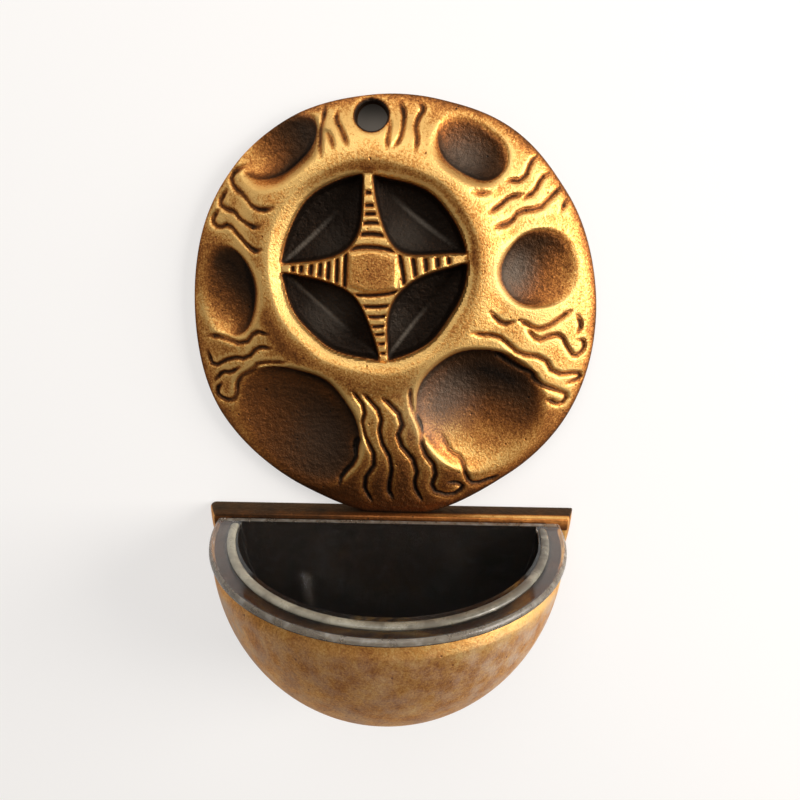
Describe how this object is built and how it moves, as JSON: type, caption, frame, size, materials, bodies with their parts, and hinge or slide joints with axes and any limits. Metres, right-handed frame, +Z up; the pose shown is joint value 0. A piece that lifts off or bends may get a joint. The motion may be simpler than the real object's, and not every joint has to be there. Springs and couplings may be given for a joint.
{
  "type": "holy water stoup",
  "caption": "Wall-hung holy water stoup: domed bronze medallion with a star cross in a ring, standing on a half-round bowl with a clear lift-out liner.",
  "frame": {"origin": "on the axis of the hanging hole, at the wall", "axes": "+X to the right, +Y into the wall, +Z up"},
  "size_m": [0.1102, 0.0574, 0.1679],
  "materials": {
    "bronze": "cast bronze, satin gold on the ridges with a dark brown patina in the hollows",
    "clear_liner": "clear, slightly grey, polished",
    "brass": "plain rolled brass, dull"
  },
  "bodies": {
    "stoup": {"medallion": "bronze", "bowl": "bronze", "joining_strap": "brass", "strap_screw_1": "brass", "strap_screw_2": "brass", "strap_screw_3": "brass", "strap_screw_4": "brass"},
    "liner": {"liner": "clear_liner"}
  },
  "joints": [
    {"name": "liner_lift", "type": "slide", "parent": "stoup", "child": "liner", "axis": [0, -0.1392, 0.9903], "range_m": [0, 0.05]}
  ]
}
